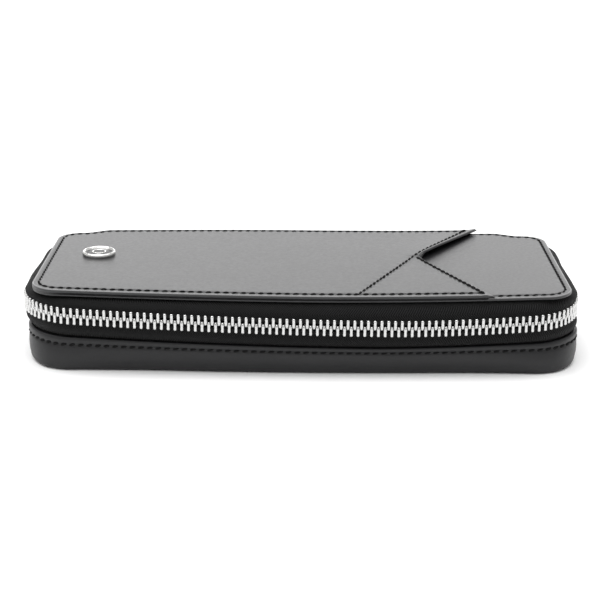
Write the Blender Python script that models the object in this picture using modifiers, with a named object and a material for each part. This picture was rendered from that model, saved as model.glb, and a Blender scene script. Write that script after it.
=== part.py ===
import math
import bpy
import bmesh
import numpy as np
from mathutils import Matrix, Vector

for item in list(bpy.data.objects):
    bpy.data.objects.remove(item, do_unlink=True)

# Driving dimensions in metres. +X runs along the length, -Y is the zip front, +Z is up.
# The origin is the centre of the underside.
gap = 0.0003              # air left between neighbouring pieces

halfLength = 0.0874       # tray rim, half of its length
frontLine = -0.0335       # tray rim front edge at the corners
rearLine = 0.0386         # tray rim rear edge, also the rear face of the spine
frontBow = 0.0036         # how far the long front side bulges at its middle
frontCorner = 0.0150      # tray corner radius at the front
rearCorner = 0.0100       # tray corner radius at the rear

trayHeight = 0.0090       # underside to rim
trayDraft = 0.0010        # the wall leans in by this much at the bottom
trayRound = 0.0034        # bottom edge rounding
leather = 0.0013          # shell, lid and spine leather
lining = 0.0008           # suede lining
boardThick = 0.0012       # stiffener in the tray floor
boardInset = 0.0070       # tray stiffener edge, in from the rim outline

zipProud = 0.0012         # the zip path stands out past the rim at the ends
zipProudFront = 0.0017    # and past the rim along the front
zipInsetRear = 0.0010     # the zip path lies this far inside the rear face
zipCornerFront = 0.0165   # zip path corner radius at the front
zipCornerRear = 0.0120    # zip path corner radius at the rear
tapeRise = 0.0073         # rim to the line where the teeth meet
tapeThick = 0.0006        # woven tape
tapeGap = 0.0007          # between the end of a tape and the spine
toothPitch = 0.00209      # spacing of the teeth on one tape
toothHigh = 0.0006        # a tooth crosses the meeting line by this much
cordHigh = 0.0019         # meeting line to the near side of the cord
chainHalf = 0.0027        # meeting line to the far side of the cord
chainThick = 0.0022       # teeth and cord, through the tape
toothRoot = 0.00050       # half width of a tooth at the cord
toothTip = 0.00030        # half width of a tooth at its tip
chainShort = 0.0004       # the last tooth stops this far short of the slider middle
stopWide = 0.0014         # length of an end stop along the tape

lidInset = 0.0028         # the lid is shorter than the rim by this at each end
lidProudFront = 0.0007    # lid front edge past the rim line
lidInsetRear = 0.0035     # lid rear edge beside the spine flap, in from the rear face
lidBow = 0.0026           # bulge of the lid front edge
lidCornerFront = 0.0080   # lid corner radius at the front
lidCornerRear = 0.0075    # lid corner radius at the rear
lidRise = 0.0071          # line where the teeth meet to the underside of the lid
lidLeather = 0.0012       # base leather of the lid
pocketThick = 0.0008      # leather of the slip pocket
lidBoardThick = 0.0009    # lid stiffener
lidBoardInset = 0.0052    # lid stiffener edge, in from the lid outline
lidLiningInset = 0.0030   # lid lining edge, in from the lid outline
tapeTuck = 0.0040         # how far the upper tape reaches under the lid edge
spineInset = 0.0189       # the spine stops this far in from each end of the rim
spineFlap = 0.0020        # chamfer at the ends of the lid flap

mouthRearX = 0.7330       # pocket edge meets the rear edge, share of the lid half length
mouthApexX = 0.4700       # where the two pocket edges meet
mouthApexY = 0.0057
mouthFrontX = 0.6880      # wedge edge runs off the front edge
seamFrontX = 0.2210       # pocket edge beside the wedge runs off the front
seamFrontY = 0.0065       # both run to this far past the front line

emblemInset = 0.0169      # emblem centre, in from the end of the lid
emblemY = 0.0059
emblemRadius = 0.0055
emblemRim = 0.0008        # radial width of the bezel
emblemHigh = 0.0014       # bezel height above the pocket leather
enamelHigh = 0.0010       # enamel disc thickness
rivetRadius = 0.0010
washerRadius = 0.0032
washerThick = 0.0005

loopShare = 0.4120        # x of each row of pen loops, share of the rim half length
loopWide = 0.0150         # width of the loop strip along the pens
loopThick = 0.0009
loopFoot = 0.0035         # sewn end of a loop strip
loopSpare = 0.0012        # from a sewn end to the lining wall
penWide = 0.0150          # inside width of a loop
penHigh = 0.0128          # inside height of a loop

sliderLong = 0.0080       # slider length along the zip
lipLand = 0.0004          # lips to the half width of the slider at its closed end
noseFlare = 0.0008        # the slider is this much wider at its open end
plateThick = 0.0010
channelOut = 0.00145      # zip path to the inner face of the outer plate
channelIn = 0.00205       # zip path to the inner face of the inner plate
slotOut = 0.00050         # zip path to the outer lip
slotIn = 0.00115          # zip path to the inner lip
bridgeLong = 0.0060       # crown length along the zip
bridgeHigh = 0.0022       # crown height off the plate
bridgeBar = 0.0008        # crown bar thickness
bridgeWide = 0.0009
linkHalf = 0.0012         # pull link, half width of its centre line
linkDrop = 0.0046         # crown bar to the centre of the lower bend of the link
linkWire = 0.0004         # link wire radius
tabLong = 0.0112
tabWide = 0.0056
tabThick = 0.0008
tabHole = 0.00075         # radius of the hole in the tab

armSteps = 6              # segments in a corner
sideSteps = 3
frontSteps = 12

shellTop = trayHeight
floorTop = leather + gap + boardThick + gap + lining
zipHalf = halfLength + zipProud
zipFront = frontLine - zipProudFront
zipRear = rearLine - zipInsetRear
zipLevel = trayHeight + tapeRise
lidHalf = halfLength - lidInset
lidFront = frontLine - lidProudFront
lidRear = rearLine - lidInsetRear
lidUnder = zipLevel + lidRise
spineHalf = halfLength - spineInset
tapeEnd = spineHalf + tapeGap
chainEnd = zipHalf - zipCornerRear - chainShort
lipStart = chainHalf + gap
sliderTail = lipStart + lipLand
sliderNose = sliderTail + noseFlare
mouthRear = (mouthRearX * lidHalf, rearLine)
mouthApex = (mouthApexX * lidHalf, mouthApexY)
mouthFront = (mouthFrontX * lidHalf, frontLine - seamFrontY)
seamFront = (seamFrontX * lidHalf, frontLine - seamFrontY)
emblemSpot = (emblemInset - lidHalf, emblemY)
wallIn = leather + gap + tapeThick + gap + lining + trayDraft + loopSpare
loopSpot = loopShare * halfLength
penCentre = 0.5 * (frontLine - 0.75 * frontBow + rearLine)
penPitch = 0.5 * (rearLine - frontLine + 0.75 * frontBow - 2.0 * wallIn - penWide - 2.0 * loopFoot)
pocketUnder = lidUnder + lidLeather + gap
pocketTop = pocketUnder + pocketThick
foldLow = (0.0, rearLine, trayHeight + gap / 2)
foldHigh = (0.0, rearLine, lidUnder - gap / 2)
cornerPin = (zipHalf - zipCornerRear, zipRear - zipCornerRear, zipLevel)
barSpot = (cornerPin[0], zipRear + channelOut + plateThick + bridgeHigh - bridgeBar / 2, zipLevel)

caseParts = bpy.data.collections.new("fountain_pen_case")
bpy.context.scene.collection.children.link(caseParts)
cutParts = bpy.data.collections.new("cutters")
bpy.context.scene.collection.children.link(cutParts)


def new_material(name, colour, rough, metal):
    mat = bpy.data.materials.new(name)
    mat.use_nodes = True
    shader = mat.node_tree.nodes["Principled BSDF"]
    shader.inputs["Base Color"].default_value = (*colour, 1.0)
    shader.inputs["Roughness"].default_value = rough
    shader.inputs["Metallic"].default_value = metal
    mat.diffuse_color = (*colour, 1.0)
    return mat


def new_object(name, mesh, mat, origin=(0.0, 0.0, 0.0)):
    # The mesh arrives in world coordinates; the object sits at its joint axis.
    mesh.transform(Matrix.Translation(-Vector(origin)))
    mesh.update()
    obj = bpy.data.objects.new(name, mesh)
    obj.location = origin
    mesh.materials.append(mat)
    caseParts.objects.link(obj)
    return obj


def mesh_of(name, verts, faces):
    mesh = bpy.data.meshes.new(name)
    mesh.from_pydata([tuple(v) for v in verts], [], faces)
    work = bmesh.new()
    work.from_mesh(mesh)
    bmesh.ops.recalc_face_normals(work, faces=work.faces)
    work.to_mesh(mesh)
    work.free()
    return mesh


def add_cutter(obj, name, mesh):
    cut = bpy.data.objects.new(name, mesh)
    cut.location = obj.location
    cut.data.transform(Matrix.Translation(-obj.location))
    cut.hide_render = True
    cut.display_type = "WIRE"
    cutParts.objects.link(cut)
    mod = obj.modifiers.new(name, "BOOLEAN")
    mod.operation = "DIFFERENCE"
    mod.solver = "EXACT"
    mod.object = cut


def round_edges(obj, size, steps, angle=35.0):
    mod = obj.modifiers.new("soft edge", "BEVEL")
    mod.width = size
    mod.segments = steps
    mod.limit_method = "ANGLE"
    mod.angle_limit = math.radians(angle)


def edge_line(half, front, rear, bow, rFront, rRear, grow=0.0, close=True, end=0.0):
    # Rounded rectangle walked from the rear left corner round the front to the rear right.
    # The front side is pushed out by bow * (1 - (x / half)^2), fading to nothing at the rear.
    half = half + grow
    front = front - grow
    rear = rear + grow
    rFront = max(rFront + grow, 0.001)
    rRear = max(rRear + grow, 0.001)
    points = []
    if not close:
        points.append((-end, rear))
    for k in range(armSteps + 1):
        a = math.radians(90.0 + 90.0 * k / armSteps)
        points.append((-half + rRear + rRear * math.cos(a), rear - rRear + rRear * math.sin(a)))
    for k in range(1, sideSteps):
        t = k / sideSteps
        points.append((-half, rear - rRear + t * (front + rFront - rear + rRear)))
    for k in range(armSteps + 1):
        a = math.radians(180.0 + 90.0 * k / armSteps)
        points.append((-half + rFront + rFront * math.cos(a), front + rFront + rFront * math.sin(a)))
    for k in range(1, frontSteps):
        t = k / frontSteps
        points.append((-half + rFront + t * 2.0 * (half - rFront), front))
    left = points[:]
    joined = armSteps + sideSteps + armSteps + 1 + (0 if close else 1)
    for x, y in reversed(left[:joined]):
        points.append((-x, y))
    flat = np.array(points)
    middle = 0.5 * (front + rear)
    weight = np.clip((middle - flat[:, 1]) / (middle - front), 0.0, 1.0) ** 2
    flat[:, 1] -= bow * (1.0 - (flat[:, 0] / half) ** 2) * weight
    return flat


def tray_edge(grow, close=True):
    return edge_line(halfLength, frontLine, rearLine, frontBow, frontCorner, rearCorner,
                     grow, close, tapeEnd)


def zip_edge(grow, close=False):
    return edge_line(zipHalf, zipFront, zipRear, frontBow, zipCornerFront, zipCornerRear,
                     grow, close, tapeEnd)


def lid_edge(grow, close=True):
    return edge_line(lidHalf, lidFront, lidRear, lidBow, lidCornerFront, lidCornerRear,
                     grow, close, tapeEnd)


def skin_rings(name, rings):
    # Joins a stack of equal closed rings by quads and closes both ends.
    count = len(rings[0])
    verts = [v for ring in rings for v in ring]
    faces = []
    for i in range(len(rings) - 1):
        for j in range(count):
            k = (j + 1) % count
            faces.append((i * count + j, i * count + k, (i + 1) * count + k, (i + 1) * count + j))
    faces.append(tuple(range(count)))
    faces.append(tuple(range((len(rings) - 1) * count, len(rings) * count)))
    return mesh_of(name, verts, faces)


def level_ring(flat, z):
    return [(p[0], p[1], z) for p in flat]


def plate_mesh(name, flat, low, high):
    return skin_rings(name, [level_ring(flat, low), level_ring(flat, high)])


def disc_mesh(name, centre, radius, low, high, sides=32):
    work = bmesh.new()
    place = Matrix.Translation((centre[0], centre[1], 0.5 * (low + high)))
    bmesh.ops.create_cone(work, cap_ends=True, segments=sides, radius1=radius,
                          radius2=radius, depth=high - low, matrix=place)
    mesh = bpy.data.meshes.new(name)
    work.to_mesh(mesh)
    work.free()
    return mesh


def box_mesh(name, low, high):
    work = bmesh.new()
    size = [high[k] - low[k] for k in range(3)]
    spot = [0.5 * (high[k] + low[k]) for k in range(3)]
    place = Matrix.Translation(spot) @ Matrix.Diagonal((*size, 1.0))
    bmesh.ops.create_cube(work, size=1.0, matrix=place)
    mesh = bpy.data.meshes.new(name)
    work.to_mesh(mesh)
    work.free()
    return mesh


def keep_side(flat, start, end):
    # The part of a closed outline that lies left of the line from start to end.
    kept = []
    dx = end[0] - start[0]
    dy = end[1] - start[1]
    size = math.hypot(dx, dy)
    side = [((p[1] - start[1]) * dx - (p[0] - start[0]) * dy) / size for p in flat]
    for k in range(len(flat)):
        n = (k + 1) % len(flat)
        if side[k] >= 0.0:
            kept.append((flat[k][0], flat[k][1]))
        if (side[k] >= 0.0) != (side[n] >= 0.0):
            t = side[k] / (side[k] - side[n])
            kept.append((flat[k][0] + t * (flat[n][0] - flat[k][0]),
                         flat[k][1] + t * (flat[n][1] - flat[k][1])))
    clean = []
    for p in kept:
        if not clean or math.hypot(p[0] - clean[-1][0], p[1] - clean[-1][1]) > 0.00002:
            clean.append(p)
    if math.hypot(clean[0][0] - clean[-1][0], clean[0][1] - clean[-1][1]) < 0.00002:
        clean.pop()
    return clean


def shift_line(start, end, by):
    # The same line moved to its left by a distance.
    dx = end[0] - start[0]
    dy = end[1] - start[1]
    size = math.hypot(dx, dy)
    move = (-dy / size * by, dx / size * by)
    return (start[0] + move[0], start[1] + move[1]), (end[0] + move[0], end[1] + move[1])


def tray_shell(mat):
    rings = []
    for k in range(5):
        a = math.radians(90.0 * k / 4)
        inset = trayDraft + trayRound * (1.0 - math.sin(a))
        rings.append(level_ring(tray_edge(-inset), trayRound * (1.0 - math.cos(a))))
    rings.append(level_ring(tray_edge(0.0), shellTop - 0.0004))
    rings.append(level_ring(tray_edge(-0.0004), shellTop))
    rings.append(level_ring(tray_edge(-leather + 0.0002), shellTop))
    rings.append(level_ring(tray_edge(-leather), shellTop - 0.0002))
    inner = trayRound - leather
    for k in range(4, -1, -1):
        a = math.radians(90.0 * k / 4)
        inset = leather + trayDraft + inner * (1.0 - math.sin(a))
        rings.append(level_ring(tray_edge(-inset), leather + inner * (1.0 - math.cos(a))))
    new_object("tray_shell", skin_rings("tray_shell", rings), mat)


def base_board(mat):
    low = leather + gap
    new_object("base_board", plate_mesh("base_board", tray_edge(-boardInset), low,
                                        low + boardThick), mat)


def tray_liner(mat):
    outside = leather + gap + tapeThick + gap
    low = floorTop - lining
    bend = 0.0020
    top = shellTop - 0.0004
    rings = []
    lean = trayDraft
    for k in range(4):
        a = math.radians(90.0 * k / 3)
        rings.append(level_ring(tray_edge(-outside - lean - bend * (1.0 - math.sin(a))),
                                low + bend * (1.0 - math.cos(a))))
    rings.append(level_ring(tray_edge(-outside), top))
    rings.append(level_ring(tray_edge(-outside - lining), top))
    for k in range(3, -1, -1):
        a = math.radians(90.0 * k / 3)
        inner = bend - lining
        rings.append(level_ring(tray_edge(-outside - lining - lean - inner * (1.0 - math.sin(a))),
                                low + lining + inner * (1.0 - math.cos(a))))
    new_object("tray_liner", skin_rings("tray_liner", rings), mat)


def pen_loops(name, spot, mat):
    low = floorTop + gap + loopThick / 2
    line = [(penCentre - penPitch - penWide / 2 - loopFoot, low)]
    for pen in (-1, 0, 1):
        for k in range(13):
            a = math.radians(180.0 - 15.0 * k)
            reach = penWide / 2 + loopThick / 2
            line.append((penCentre + pen * penPitch + reach * math.cos(a),
                         low + (penHigh + loopThick / 2) * math.sin(a) ** 0.75))
    line.append((penCentre + penPitch + penWide / 2 + loopFoot, low))
    verts = [(spot - loopWide / 2, y, z) for y, z in line]
    verts += [(spot + loopWide / 2, y, z) for y, z in line]
    count = len(line)
    faces = [(k, k + 1, count + k + 1, count + k) for k in range(count - 1)]
    mesh = bpy.data.meshes.new(name)
    mesh.from_pydata(verts, [], faces)
    obj = new_object(name, mesh, mat)
    mod = obj.modifiers.new("thickness", "SOLIDIFY")
    mod.thickness = loopThick
    mod.offset = 0.0
    mod.use_even_offset = True
    mod.use_rim = True


def tape_strip(name, lines, origin, mat):
    # lines holds (front face path, rear face path, front height, rear height) from one
    # edge of the tape to the other; the tape is the closed strip between both faces.
    rings = []
    for k in range(len(lines[0][0])):
        ring = [(*line[0][k], line[2]) for line in lines]
        ring += [(*line[1][k], line[3]) for line in reversed(lines)]
        rings.append(ring)
    new_object(name, skin_rings(name, rings), mat, origin)


def lower_zip_tape(mat):
    t = tapeThick / 2
    tuck = leather + gap + t
    lines = []
    for edge, grow, z in ((tray_edge, -tuck - 0.0008, trayHeight - 0.0034),
                          (tray_edge, -tuck, trayHeight - 0.0002),
                          (zip_edge, 0.0, zipLevel - sliderNose - 0.0002),
                          (zip_edge, 0.0, zipLevel - chainHalf - gap)):
        lines.append((edge(grow + t, close=False), edge(grow - t, close=False), z, z))
    tape_strip("lower_zip_tape", lines, (0.0, 0.0, 0.0), mat)


def upper_zip_tape(mat):
    t = tapeThick / 2
    z = lidUnder - gap - t
    lines = [(zip_edge(t), zip_edge(-t), zipLevel + chainHalf + gap, zipLevel + chainHalf + gap),
             (zip_edge(t), zip_edge(-t), zipLevel + sliderNose + 0.0003,
              zipLevel + sliderNose + 0.0003),
             (lid_edge(-0.0012, close=False), lid_edge(-0.0014, close=False), z + t, z - t),
             (lid_edge(-tapeTuck, close=False), lid_edge(-tapeTuck, close=False), z + t, z - t)]
    tape_strip("upper_zip_tape", lines, foldHigh, mat)


def walk_path(flat, steps):
    # Point, outward direction and length at any distance along an open path.
    seg = np.diff(flat, axis=0)
    length = np.concatenate([[0.0], np.cumsum(np.hypot(seg[:, 0], seg[:, 1]))])
    x = np.interp(steps, length, flat[:, 0])
    y = np.interp(steps, length, flat[:, 1])
    ahead = np.interp(steps + 0.0003, length, flat[:, 0]) - np.interp(steps - 0.0003, length,
                                                                      flat[:, 0])
    aside = np.interp(steps + 0.0003, length, flat[:, 1]) - np.interp(steps - 0.0003, length,
                                                                      flat[:, 1])
    size = np.hypot(ahead, aside)
    return np.stack([x, y], axis=1), np.stack([aside / size, -ahead / size], axis=1), length[-1]


def chain_span():
    flat = zip_edge(0.0)
    total = walk_path(flat, np.array([0.0]))[2]
    start = chainEnd - tapeEnd
    count = int((total - 2.0 * start) / toothPitch)
    first = 0.5 * (total - count * toothPitch)
    return flat, total, first, count


def zip_teeth(name, up, origin, mat):
    # A cord with a row of tapered teeth that cross the meeting line.
    flat, total, first, count = chain_span()
    steps = []
    tall = []
    shift = 0.25 * toothPitch * up
    for k in range(count):
        centre = first + (k + 0.5) * toothPitch + shift
        steps += [centre - toothRoot, centre - toothTip, centre + toothTip, centre + toothRoot]
        tall += [0, 1, 1, 0]
    steps = [first - 0.0002] + steps + [total - first + 0.0002]
    tall = [0] + tall + [0]
    spots, outward, whole = walk_path(flat, np.array(steps))
    thin = chainThick / 2
    rings = []
    for spot, out, high in zip(spots, outward, tall):
        near = zipLevel + up * (cordHigh - high * (cordHigh + toothHigh))
        far = zipLevel + up * chainHalf
        a = spot + out * thin
        b = spot - out * thin
        rings.append([(a[0], a[1], far), (a[0], a[1], near), (b[0], b[1], near),
                      (b[0], b[1], far)])
    new_object(name, skin_rings(name, rings), mat, origin)


def end_stop(name, side, up, origin, mat):
    low = zipLevel + (gap / 2 if up > 0 else -chainHalf)
    high = zipLevel + (chainHalf if up > 0 else -gap / 2)
    x0 = tapeEnd + 0.0009
    a = (min(side * x0, side * (x0 + stopWide)), zipRear - 0.0009, low)
    b = (max(side * x0, side * (x0 + stopWide)), zipRear + 0.0009, high)
    obj = new_object(name, box_mesh(name, a, b), mat, origin)
    round_edges(obj, 0.0003, 2)


def spine_sheet(name, front, back, half, trim, mat):
    # Upright sheet between two distances in from the rear face.
    low = (-half, rearLine - back, trayHeight + gap + trim)
    high = (half, rearLine - front, lidUnder - gap - trim)
    obj = new_object(name, box_mesh(name, low, high), mat, foldLow)
    round_edges(obj, 0.0003, 2)


def lid_outline(grow):
    flat = lid_edge(grow)
    back = rearLine + grow
    flap = spineHalf + grow
    bump = [(flap + spineFlap, flat[-1][1]), (flap - 0.0005, back - 0.0004),
            (flap - 0.0015, back), (-flap + 0.0015, back), (-flap + 0.0005, back - 0.0004),
            (-flap - spineFlap, flat[0][1])]
    return [tuple(p) for p in flat] + bump


def lid_sheets(mats):
    panel = new_object("lid_panel", plate_mesh("lid_panel", lid_outline(0.0), lidUnder,
                                               lidUnder + lidLeather), mats["leather"], foldHigh)
    add_cutter(panel, "panel hole", disc_mesh("panel hole", emblemSpot, rivetRadius + gap,
                                              lidUnder - 0.001, pocketTop, 20))
    top = lidUnder - gap
    board = new_object("lid_board", plate_mesh("lid_board", lid_edge(-lidBoardInset),
                                               top - lidBoardThick, top), mats["board"], foldHigh)
    add_cutter(board, "board hole", disc_mesh("board hole", emblemSpot, washerRadius + gap,
                                              top - 0.002, top + 0.001, 24))
    top = top - lidBoardThick - gap
    new_object("lid_liner", plate_mesh("lid_liner", lid_edge(-lidLiningInset), top - lining, top),
               mats["suede"], foldHigh)


def pocket_sheets(mats):
    whole = lid_outline(0.0)
    edge = keep_side(whole, mouthApex, mouthRear)
    low = keep_side(edge, seamFront, mouthApex)
    # The pocket is bounded on the right by two lines that meet at the apex.
    panel = new_object("pocket_panel", plate_mesh("pocket_panel", low, pocketUnder, pocketTop),
                       mats["pocket"], foldHigh)
    add_cutter(panel, "pocket hole", disc_mesh("pocket hole", emblemSpot, rivetRadius + gap,
                                               lidUnder, pocketTop + 0.001, 20))
    back = shift_line(mouthApex, seamFront, gap)
    right = (mouthFront, mouthApex)
    part = keep_side(whole, *back)
    part = keep_side(part, *right)
    new_object("pocket_wedge", plate_mesh("pocket_wedge", part, pocketUnder, pocketTop),
               mats["pocket"], foldHigh)


def emblem(mats):
    low = pocketTop + gap
    bezel = new_object("emblem_bezel", disc_mesh("emblem_bezel", emblemSpot, emblemRadius, low,
                                                 low + emblemHigh, 40), mats["metal"], foldHigh)
    add_cutter(bezel, "bezel bore", disc_mesh("bezel bore", emblemSpot, emblemRadius - emblemRim,
                                              low - 0.001, low + emblemHigh + 0.001, 40))
    round_edges(bezel, 0.0002, 1)
    new_object("emblem_disc", disc_mesh("emblem_disc", emblemSpot,
                                        emblemRadius - emblemRim - gap / 2, low,
                                        low + enamelHigh, 40), mats["enamel"], foldHigh)
    foot = lidUnder - gap - washerThick - gap
    new_object("emblem_rivet", disc_mesh("emblem_rivet", emblemSpot, rivetRadius, foot,
                                         low - gap / 2, 16), mats["metal"], foldHigh)
    washer = new_object("emblem_washer", disc_mesh("emblem_washer", emblemSpot, washerRadius,
                                                   lidUnder - gap - washerThick,
                                                   lidUnder - gap, 24), mats["metal"], foldHigh)
    add_cutter(washer, "washer bore", disc_mesh("washer bore", emblemSpot, rivetRadius + gap,
                                                foot - 0.001, lidUnder, 20))


def side_prism(name, shape, low, high):
    # shape is a list of (x, z); the prism runs between two y levels.
    rings = [[(x, low, z) for x, z in shape], [(x, high, z) for x, z in shape]]
    return skin_rings(name, rings)


def join_union(obj, name, mesh):
    tool = bpy.data.objects.new(name, mesh)
    tool.location = obj.location
    tool.data.transform(Matrix.Translation(-obj.location))
    tool.hide_render = True
    tool.display_type = "WIRE"
    cutParts.objects.link(tool)
    mod = obj.modifiers.new(name, "BOOLEAN")
    mod.operation = "UNION"
    mod.solver = "EXACT"
    mod.object = tool


def slider(mats):
    cx = cornerPin[0]
    half = sliderLong / 2
    nose = cx - half
    tail = cx + half
    shape = [(nose, -sliderNose + 0.0010), (nose + 0.0010, -sliderNose),
             (cx - 0.0002, -sliderNose), (cx + 0.0016, -sliderTail - 0.0004),
             (tail, -sliderTail - 0.0004), (tail, sliderTail + 0.0004),
             (cx + 0.0016, sliderTail + 0.0004), (cx - 0.0002, sliderNose),
             (nose + 0.0010, sliderNose), (nose, sliderNose - 0.0010)]
    shape = [(x, zipLevel + z) for x, z in shape]
    outFace = zipRear + channelOut
    inFace = zipRear - channelIn
    body = new_object("slider_body", side_prism("slider_body", shape, outFace,
                                                outFace + plateThick), mats["metal"], cornerPin)
    join_union(body, "inner plate", side_prism("inner plate", shape, inFace - plateThick,
                                               inFace))
    post = [(nose + 0.0003, 0.0), (nose + 0.0009, -0.0009), (cx - 0.0012, -0.0009),
            (cx - 0.0006, 0.0), (cx - 0.0012, 0.0009), (nose + 0.0009, 0.0009)]
    post = [(x, zipLevel + z) for x, z in post]
    join_union(body, "post", side_prism("post", post, inFace - plateThick / 2,
                                        outFace + plateThick / 2))
    for up in (-1, 1):
        lip = [(cx - 0.0004, up * (lipStart + 0.0004)), (cx + 0.0014, up * lipStart),
               (tail - 0.0001, up * lipStart), (tail - 0.0001, up * (sliderTail + 0.0003)),
               (cx + 0.0018, up * (sliderTail + 0.0003)), (cx - 0.0004, up * (sliderNose - 0.0002))]
        lip = [(x, zipLevel + z) for x, z in lip]
        join_union(body, "outer lip", side_prism("outer lip", lip, zipRear + slotOut,
                                                 outFace + plateThick / 2))
        join_union(body, "inner lip", side_prism("inner lip", lip, inFace - plateThick / 2,
                                                 zipRear - slotIn))
    low = outFace + plateThick + gap
    high = outFace + plateThick + bridgeHigh
    ends = bridgeLong / 2
    arch = [(cx - ends, low), (cx - ends, high - 0.0006), (cx - ends + 0.0006, high),
            (cx + ends - 0.0006, high), (cx + ends, high - 0.0006), (cx + ends, low),
            (cx + ends - bridgeBar, low), (cx + ends - bridgeBar, high - bridgeBar),
            (cx - ends + bridgeBar, high - bridgeBar), (cx - ends + bridgeBar, low)]
    rings = [[(x, y, zipLevel - bridgeWide / 2) for x, y in arch],
             [(x, y, zipLevel + bridgeWide / 2) for x, y in arch]]
    new_object("slider_bridge", skin_rings("slider_bridge", rings), mats["metal"], cornerPin)


def pull(mats):
    # The link hangs on the crown bar in an upright plane square to the zip.
    bar = Vector(barSpot)
    rings = []
    for bend in (0, 1):
        for k in range(9):
            a = math.radians(180.0 * bend + 22.5 * k)
            spot = bar + Vector((0.0, linkHalf * math.cos(a), linkHalf * math.sin(a)))
            spot.z -= linkDrop * bend
            ring = []
            for j in range(8):
                b = math.radians(45.0 * j)
                ring.append((spot.x + linkWire * math.sin(b),
                             spot.y + linkWire * math.cos(b) * math.cos(a),
                             spot.z + linkWire * math.cos(b) * math.sin(a)))
            rings.append(ring)
    verts = [v for ring in rings for v in ring]
    faces = []
    for i in range(len(rings)):
        n = (i + 1) % len(rings)
        for j in range(8):
            k = (j + 1) % 8
            faces.append((i * 8 + j, i * 8 + k, n * 8 + k, n * 8 + j))
    new_object("pull_link", mesh_of("pull_link", verts, faces), mats["metal"], barSpot)
    # The tab hangs from the link between its two sides, flat to the case.
    hole = bar.z - linkDrop - linkHalf
    top = hole + tabHole + 0.0008
    y0 = bar.y - tabThick / 2
    low = (bar.x - tabWide / 2, y0, top - tabLong)
    high = (bar.x + tabWide / 2, y0 + tabThick, top)
    tab = new_object("pull_tab", box_mesh("pull_tab", low, high), mats["metal"], barSpot)
    bore = []
    for k in range(16):
        a = math.radians(360.0 * k / 16)
        bore.append((bar.x + tabHole * math.cos(a), hole + tabHole * math.sin(a)))
    add_cutter(tab, "tab hole", side_prism("tab hole", bore, y0 - 0.001, y0 + tabThick + 0.001))
    round_edges(tab, 0.0002, 2)


def build():
    mats = {
        "leather": new_material("black smooth leather", (0.012, 0.012, 0.013), 0.38, 0.0),
        "pocket": new_material("pocket leather", (0.014, 0.014, 0.015), 0.38, 0.0),
        "tray": new_material("tray leather", (0.011, 0.011, 0.012), 0.40, 0.0),
        "suede": new_material("charcoal suede lining", (0.035, 0.033, 0.032), 0.95, 0.0),
        "board": new_material("grey fibre board", (0.30, 0.27, 0.23), 0.85, 0.0),
        "tape": new_material("black woven tape", (0.010, 0.010, 0.011), 0.85, 0.0),
        "teeth": new_material("bright nickel teeth", (0.80, 0.79, 0.77), 0.20, 1.0),
        "metal": new_material("polished nickel", (0.82, 0.81, 0.80), 0.12, 1.0),
        "enamel": new_material("dark enamel", (0.05, 0.05, 0.052), 0.15, 0.0),
    }
    tray_shell(mats["tray"])
    base_board(mats["board"])
    tray_liner(mats["suede"])
    pen_loops("pen_loops_left", -loopSpot, mats["leather"])
    pen_loops("pen_loops_right", loopSpot, mats["leather"])
    lower_zip_tape(mats["tape"])
    zip_teeth("lower_zip_teeth", -1, (0.0, 0.0, 0.0), mats["teeth"])
    upper_zip_tape(mats["tape"])
    zip_teeth("upper_zip_teeth", 1, foldHigh, mats["teeth"])
    end_stop("stop_lower_left", -1, -1, (0.0, 0.0, 0.0), mats["metal"])
    end_stop("stop_lower_right", 1, -1, (0.0, 0.0, 0.0), mats["metal"])
    end_stop("stop_upper_left", -1, 1, foldHigh, mats["metal"])
    end_stop("stop_upper_right", 1, 1, foldHigh, mats["metal"])
    spine_sheet("spine_leather", 0.0, leather, spineHalf, 0.0, mats["leather"])
    spine_sheet("spine_board", leather + gap, leather + gap + 0.0010, spineHalf - 0.003, 0.0010,
                mats["board"])
    spine_sheet("spine_liner", leather + 2 * gap + 0.0010, leather + 2 * gap + 0.0010 + lining,
                spineHalf - 0.001, 0.0006, mats["suede"])
    lid_sheets(mats)
    pocket_sheets(mats)
    emblem(mats)
    slider(mats)
    pull(mats)


build()
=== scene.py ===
import math
import bmesh
import bpy
import numpy as np
from mathutils import Matrix, Vector
from mathutils.geometry import delaunay_2d_cdt


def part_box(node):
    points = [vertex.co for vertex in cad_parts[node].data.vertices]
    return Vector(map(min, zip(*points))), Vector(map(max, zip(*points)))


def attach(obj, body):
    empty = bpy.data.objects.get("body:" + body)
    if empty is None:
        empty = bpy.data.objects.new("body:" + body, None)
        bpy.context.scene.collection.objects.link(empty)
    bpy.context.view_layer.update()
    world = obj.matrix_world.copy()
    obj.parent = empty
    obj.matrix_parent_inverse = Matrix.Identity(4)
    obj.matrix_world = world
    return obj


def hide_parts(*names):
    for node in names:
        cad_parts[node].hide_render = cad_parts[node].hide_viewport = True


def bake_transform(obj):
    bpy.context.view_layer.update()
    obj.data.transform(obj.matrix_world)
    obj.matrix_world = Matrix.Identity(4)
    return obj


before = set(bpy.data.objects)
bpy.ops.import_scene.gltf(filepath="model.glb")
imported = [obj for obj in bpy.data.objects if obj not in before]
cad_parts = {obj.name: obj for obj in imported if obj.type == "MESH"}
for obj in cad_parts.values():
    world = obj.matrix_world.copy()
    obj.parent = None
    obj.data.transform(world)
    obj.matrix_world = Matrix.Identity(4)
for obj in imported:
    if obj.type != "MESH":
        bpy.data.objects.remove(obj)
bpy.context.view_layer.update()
print("frame loaded")

mm = 0.001
room = bpy.context.scene


def sized(**sizes):
    # named lengths given in millimetres
    return {key: size * mm for key, size in sizes.items()}


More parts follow.
